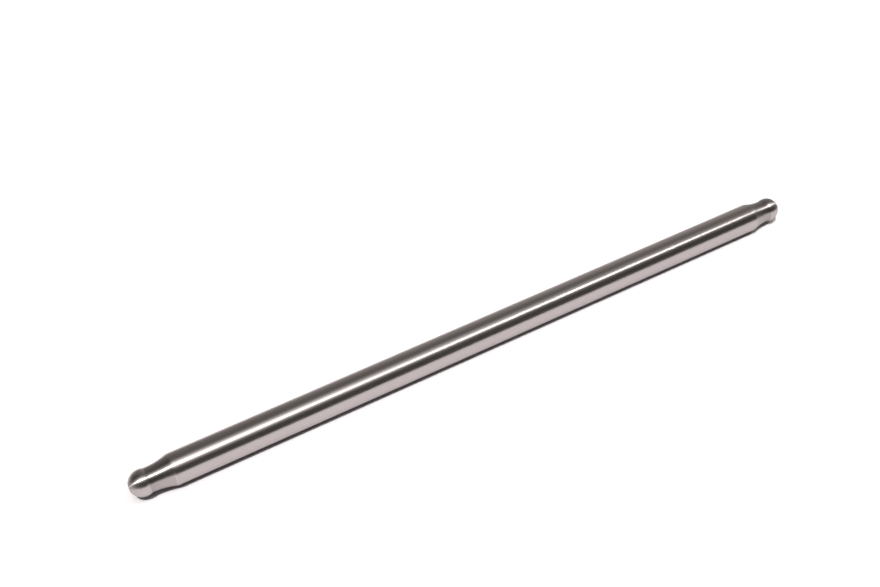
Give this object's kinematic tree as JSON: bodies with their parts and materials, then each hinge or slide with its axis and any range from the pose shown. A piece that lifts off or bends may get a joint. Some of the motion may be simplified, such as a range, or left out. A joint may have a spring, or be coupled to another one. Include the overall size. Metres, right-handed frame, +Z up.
{
  "type": "engine pushrod",
  "caption": "Straight engine pushrod: a bright ground steel tube, swaged at each end to a drilled ball on a flared neck, that carries valve lift from lifter to rocker arm.",
  "frame": {"origin": "on the rod's axis, midway between the two ball ends", "axes": "+X along the rod's axis, towards the rocker end; +Z up as the rod lies"},
  "size_m": [0.2346, 0.0094, 0.0096],
  "materials": {
    "ground_steel": "bright centreless-ground steel with faint grinding rings, ends polished"
  },
  "bodies": {
    "root": {"pushrod": "ground_steel"}
  },
  "joints": []
}
